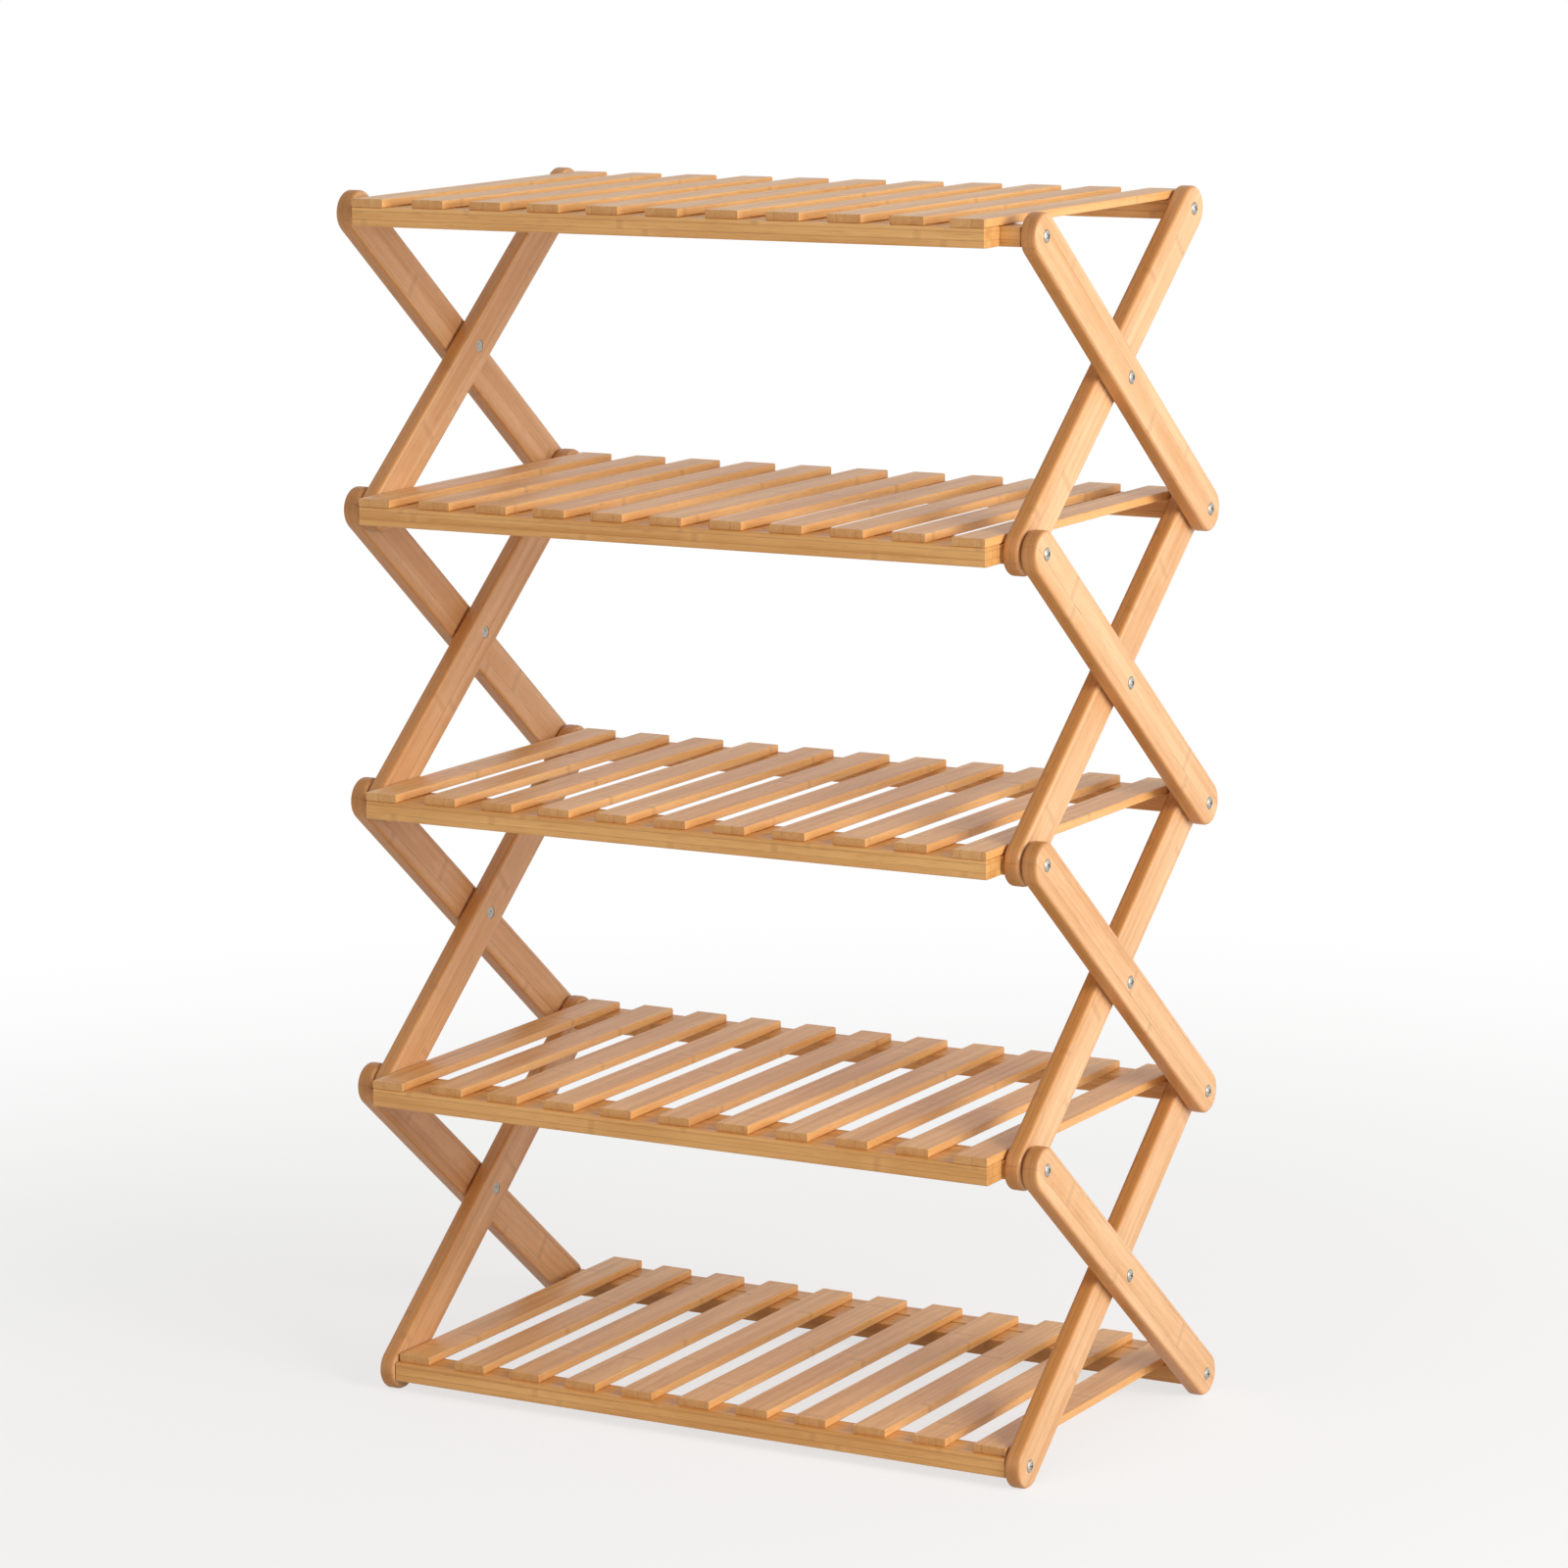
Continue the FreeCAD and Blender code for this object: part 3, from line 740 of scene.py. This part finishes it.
def slat_pitch(row_width):
    return (row_width - SLAT_WIDTH) / (SLAT_COUNT - 1)


def make_slats(tier):
    node = f"tier_{tier}_slats"
    middle, extent = middle_and_size(node)
    batten_side = 1 if tier == 1 else -1
    sizes = {"Count": SLAT_COUNT, "Pitch": slat_pitch(extent.x),
             "Length": extent.y, "Inner Length": extent.y - SLAT_INSET, "Width": SLAT_WIDTH,
             "Thickness": extent.z, "Edge Radius": SLAT_EDGE, "End Radius": SLAT_END_EDGE,
             "Centre": middle, "Inner Shift": -batten_side * SLAT_INSET / 2,
             "Turn": -batten_side * math.pi / 2, "Seed": FIRST_SEED["slats"] + tier,
             "Finish": FINISHES["slat_bamboo"]}
    slats = grow("bamboo_" + node, strip_tree, sizes)
    stand_for(slats, node)
    return slats


for tier in TIERS:
    for part in ("front_bar", "back_bar", "batten"):
        make_bar(f"tier_{tier}_{part}", FIRST_SEED[part] + tier)
    made = make_slats(tier)
print("bars, battens and slats made, the last row of slats with", len(made.data.polygons), "faces")

# %% [markdown]
# Every pivot has a screw into the end of its crossbar, every crossing has a rivet, and washers
# keep the leg layers apart. Their points are the pivots and crossings, on the face each head
# sits on. A list of points is all that the fastener tree needs.

# %% Screws, rivets and washers
CROSS_TWIST = 1.6
PLAIN_TWIST = 3.0


def fasten(node, master, points, seed, twist, slot):
    sizes = {"Master": master, "Seed": seed, "Twist": twist, "Finish": FINISHES[slot]}
    piece = grow("steel_" + node, fastener_tree, sizes, points)
    stand_for(piece, node)
    return piece


def both_sides(x, place, outward=1):
    return [(Vector((side * x, place.y, place.z)), (side * outward, 0, 0)) for side in SIDES.values()]


def crossing(level):
    return (pivot(level, "front") + pivot(level + 1, "back")) / 2


outer_face = outer_middle.x + outer_extent.x / 2
washer_face = outer_middle.x - outer_extent.x / 2
for tier in TIERS:
    for number, end in enumerate(ENDS):
        node = f"tier_{tier}_{end}_screws"
        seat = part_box(node)[1].x - HEAD_RISE * MM
        seed = FIRST_SEED["screws"] + 2 * tier + number
        fasten(node, screw, both_sides(seat, pivot(tier, end)), seed, CROSS_TWIST, "screw_steel")
for level in LEVELS:
    fasten(f"level_{level}_crossing_rivets", rivet, both_sides(outer_face, crossing(level)),
           FIRST_SEED["rivets"] + level, CROSS_TWIST, "screw_steel")
    places = [crossing(level)]
    places += [pivot(level, "back")] if level > LEVELS[0] else []
    places += [pivot(level + 1, "front")] if level < LEVELS[-1] else []
    points = [point for place in places for point in both_sides(washer_face, place, -1)]
    fasten(f"level_{level}_washers", washer, points, FIRST_SEED["washers"] + level, PLAIN_TWIST,
           "washer_steel")
print("screws, rivets and washers made")

# %% [markdown]
# Nails hold the slats from below, where they don't show from above: one in the crossbar and one
# in the batten under each slat. They are the same tree again, with points that face upwards.
# The masters have done their work after that and are removed.

# %% Nails under the slats
NAIL_OFFSET = 7 * MM


def nail_points(tier):
    bar_end = "front" if tier == 1 else "back"
    inwards = 1 if tier == 1 else -1
    bar_middle, bar_extent = middle_and_size(f"tier_{tier}_{bar_end}_bar")
    batten_middle, batten_extent = middle_and_size(f"tier_{tier}_batten")
    pitch = slat_pitch(middle_and_size(f"tier_{tier}_slats")[1].x)
    across = [(number - (SLAT_COUNT - 1) / 2) * pitch for number in range(SLAT_COUNT)]
    rows = ((bar_middle.y + inwards * NAIL_OFFSET, bar_middle.z - bar_extent.z / 2),
            (batten_middle.y, batten_middle.z - batten_extent.z / 2))
    return [(Vector((x, y, z)), (0, 0, 1)) for y, z in rows for x in across]


for tier in TIERS:
    made = fasten(f"tier_{tier}_nails", nail, nail_points(tier), FIRST_SEED["nails"] + tier,
                  PLAIN_TWIST, "nail_steel")
print("nails made, the last shelf with", len(made.data.polygons), "faces")
for master in (screw, rivet, washer, nail):
    bpy.data.objects.remove(master)

# %% [markdown]
# The rack stands in a plain pale studio. A floor lit to pure white would light the rack too much
# from below. This one mixes a matt white with plain white for what the camera sees, so it reads
# as white and still keeps the shadow. The plain white grows with distance, so no horizon shows.

# %% The floor
WHITE_RAYS = ("Is Camera Ray", "Is Glossy Ray", "Is Transmission Ray")
FLOOR_REACH = 14
SHADE_FROM = 0.4
WHITE_FROM = 1.8


def seen_directly(tree):
    path = tree.add("ShaderNodeLightPath")
    camera, glossy, transmission = [Value(tree, path.outputs[name]) for name in WHITE_RAYS]
    return camera.maths("MAXIMUM", glossy).maths("MAXIMUM", transmission)


floor_finish, tree = new_finish("studio_floor")
matt = tree.node("ShaderNodeBsdfDiffuse", None, {"Color": (0.86, 0.86, 0.86, 1)})
bright = tree.node("ShaderNodeEmission", None, {"Color": (1, 1, 1, 1), "Strength": 1.0})
place = tree.node("ShaderNodeTexCoord", output=3)
distance = tree.length(place)
whiteness = 0.70 + smooth(distance, SHADE_FROM, WHITE_FROM) * 0.30
surface = tree.node("ShaderNodeMixShader", None, {0: seen_directly(tree) * whiteness, 1: matt, 2: bright})
output_surface(tree, surface)
floor_mesh = bpy.data.meshes.new("studio_floor")
corners = [(-FLOOR_REACH, -FLOOR_REACH, 0), (FLOOR_REACH, -FLOOR_REACH, 0),
           (FLOOR_REACH, FLOOR_REACH, 0), (-FLOOR_REACH, FLOOR_REACH, 0)]
floor_mesh.from_pydata(corners, [], [(0, 1, 2, 3)])
floor = bpy.data.objects.new("studio_floor", floor_mesh)
floor.data.materials.append(floor_finish)
bpy.context.scene.collection.objects.link(floor)
print("studio floor", 2 * FLOOR_REACH, "metres wide")

# %% [markdown]
# The world is the light that comes from everywhere. It is kept weak, so that edges and gaps stay
# readable, while the camera and the steel's reflections see plain white.

# %% The world
AMBIENT = 0.42
world = bpy.data.worlds.new("studio")
bpy.context.scene.world = world
world.use_nodes = True
world.node_tree.nodes.clear()
tree = Tree(world.node_tree)
seen = seen_directly(tree)
backdrop = tree.node("ShaderNodeBackground", None, {"Color": (1, 1, 1, 1), "Strength": 1.0})
ambient = tree.node("ShaderNodeBackground", None, {"Color": (1, 0.98, 0.96, 1), "Strength": AMBIENT})
mixed = tree.node("ShaderNodeMixShader", None, {0: seen, 1: ambient, 2: backdrop})
tree.add("ShaderNodeOutputWorld", None, {"Surface": mixed})
print("world light", AMBIENT)

# %% [markdown]
# A large soft lamp from the right makes the leg faces bright and leaves the edges that face the
# front darker, which shows how thick the legs are. A weaker one in front opens the shaded faces.

# %% Lamps
LAMP_TARGET = (0, 0, 0.45)


def area_lamp(name, place, width, power, colour):
    light = bpy.data.lights.new(name, "AREA")
    light.size = width
    light.energy = power
    light.color = colour
    lamp = bpy.data.objects.new(name, light)
    lamp.location = place
    lamp.rotation_euler = (Vector(LAMP_TARGET) - Vector(place)).to_track_quat("-Z", "Y").to_euler()
    bpy.context.scene.collection.objects.link(lamp)
    print(name, power, "watts")


area_lamp("key_from_right", place=(3.6, -0.7, 1.5), width=1.8, power=122, colour=(1, 0.98, 0.95))
area_lamp("fill_from_front", place=(-1.0, -3.6, 1.6), width=2.4, power=16, colour=(1, 0.99, 0.98))

# %% [markdown]
# The camera stands to the right of the front and a little above the top shelf, with a long lens
# so that the rack's upright lines stay nearly parallel. Its view is built from three axes, which
# lets the small roll be set without juggling Euler angles.

# %% The camera
CAMERA_PLACE = Vector((1.8851, -3.3206, 1.1486))
AZIMUTH = math.radians(29.571)
ELEVATION = math.radians(10.35)
ROLL = math.radians(-0.562)
ahead = Vector((-math.sin(AZIMUTH) * math.cos(ELEVATION), math.cos(AZIMUTH) * math.cos(ELEVATION),
                -math.sin(ELEVATION)))
right = ahead.cross(Vector((0, 0, 1))).normalized()
up = right.cross(ahead)
image_right = math.cos(ROLL) * right + math.sin(ROLL) * up
image_up = -math.sin(ROLL) * right + math.cos(ROLL) * up
turn = Matrix((image_right, image_up, -ahead)).transposed()
lens = bpy.data.cameras.new("studio_camera")
lens.lens = 123.75
lens.sensor_width = 36
camera = bpy.data.objects.new("studio_camera", lens)
camera.matrix_world = Matrix.Translation(CAMERA_PLACE) @ turn.to_4x4()
bpy.context.scene.collection.objects.link(camera)
bpy.context.scene.camera = camera
bpy.context.scene.view_settings.view_transform = "Standard"
print("camera looks along", [round(value, 3) for value in ahead])
